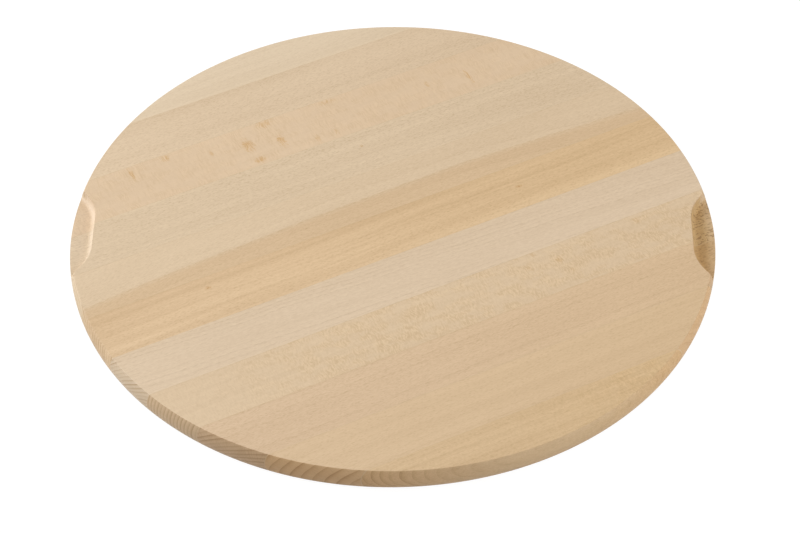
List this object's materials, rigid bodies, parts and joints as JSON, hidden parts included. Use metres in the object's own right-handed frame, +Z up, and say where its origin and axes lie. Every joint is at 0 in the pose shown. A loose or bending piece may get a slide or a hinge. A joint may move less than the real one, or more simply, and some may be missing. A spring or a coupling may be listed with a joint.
{
  "type": "pizza board",
  "caption": "Round serving board for pizza, glued from edge-joined beech staves, with a gently crowned rim and a shallow finger grip cut into the rim on either side.",
  "frame": {"origin": "centre of the underside, on the surface that the board rests on", "axes": "+X through the right-hand finger grip, +Y away from the front, +Z up through the serving face"},
  "size_m": [0.5, 0.5, 0.018],
  "materials": {
    "beech_cream": "sanded, lightly oiled beech, cream tone",
    "beech_sand": "sanded, lightly oiled beech, sand tone",
    "beech_straw": "sanded, lightly oiled beech, straw tone",
    "beech_honey": "sanded, lightly oiled beech, honey tone",
    "beech_rose": "sanded, lightly oiled beech, rose tone",
    "glue": "cured wood glue, sanded flush"
  },
  "bodies": {
    "root": {"stave_01": "beech_cream", "stave_02": "beech_sand", "stave_03": "beech_straw", "stave_04": "beech_sand", "stave_05": "beech_straw", "stave_06": "beech_honey", "stave_07": "beech_cream", "stave_08": "beech_straw", "stave_09": "beech_rose", "stave_10": "beech_rose", "stave_11": "beech_honey", "glue_line_01": "glue", "glue_line_02": "glue", "glue_line_03": "glue", "glue_line_04": "glue", "glue_line_05": "glue", "glue_line_06": "glue", "glue_line_07": "glue", "glue_line_08": "glue", "glue_line_09": "glue", "glue_line_10": "glue"}
  },
  "joints": []
}
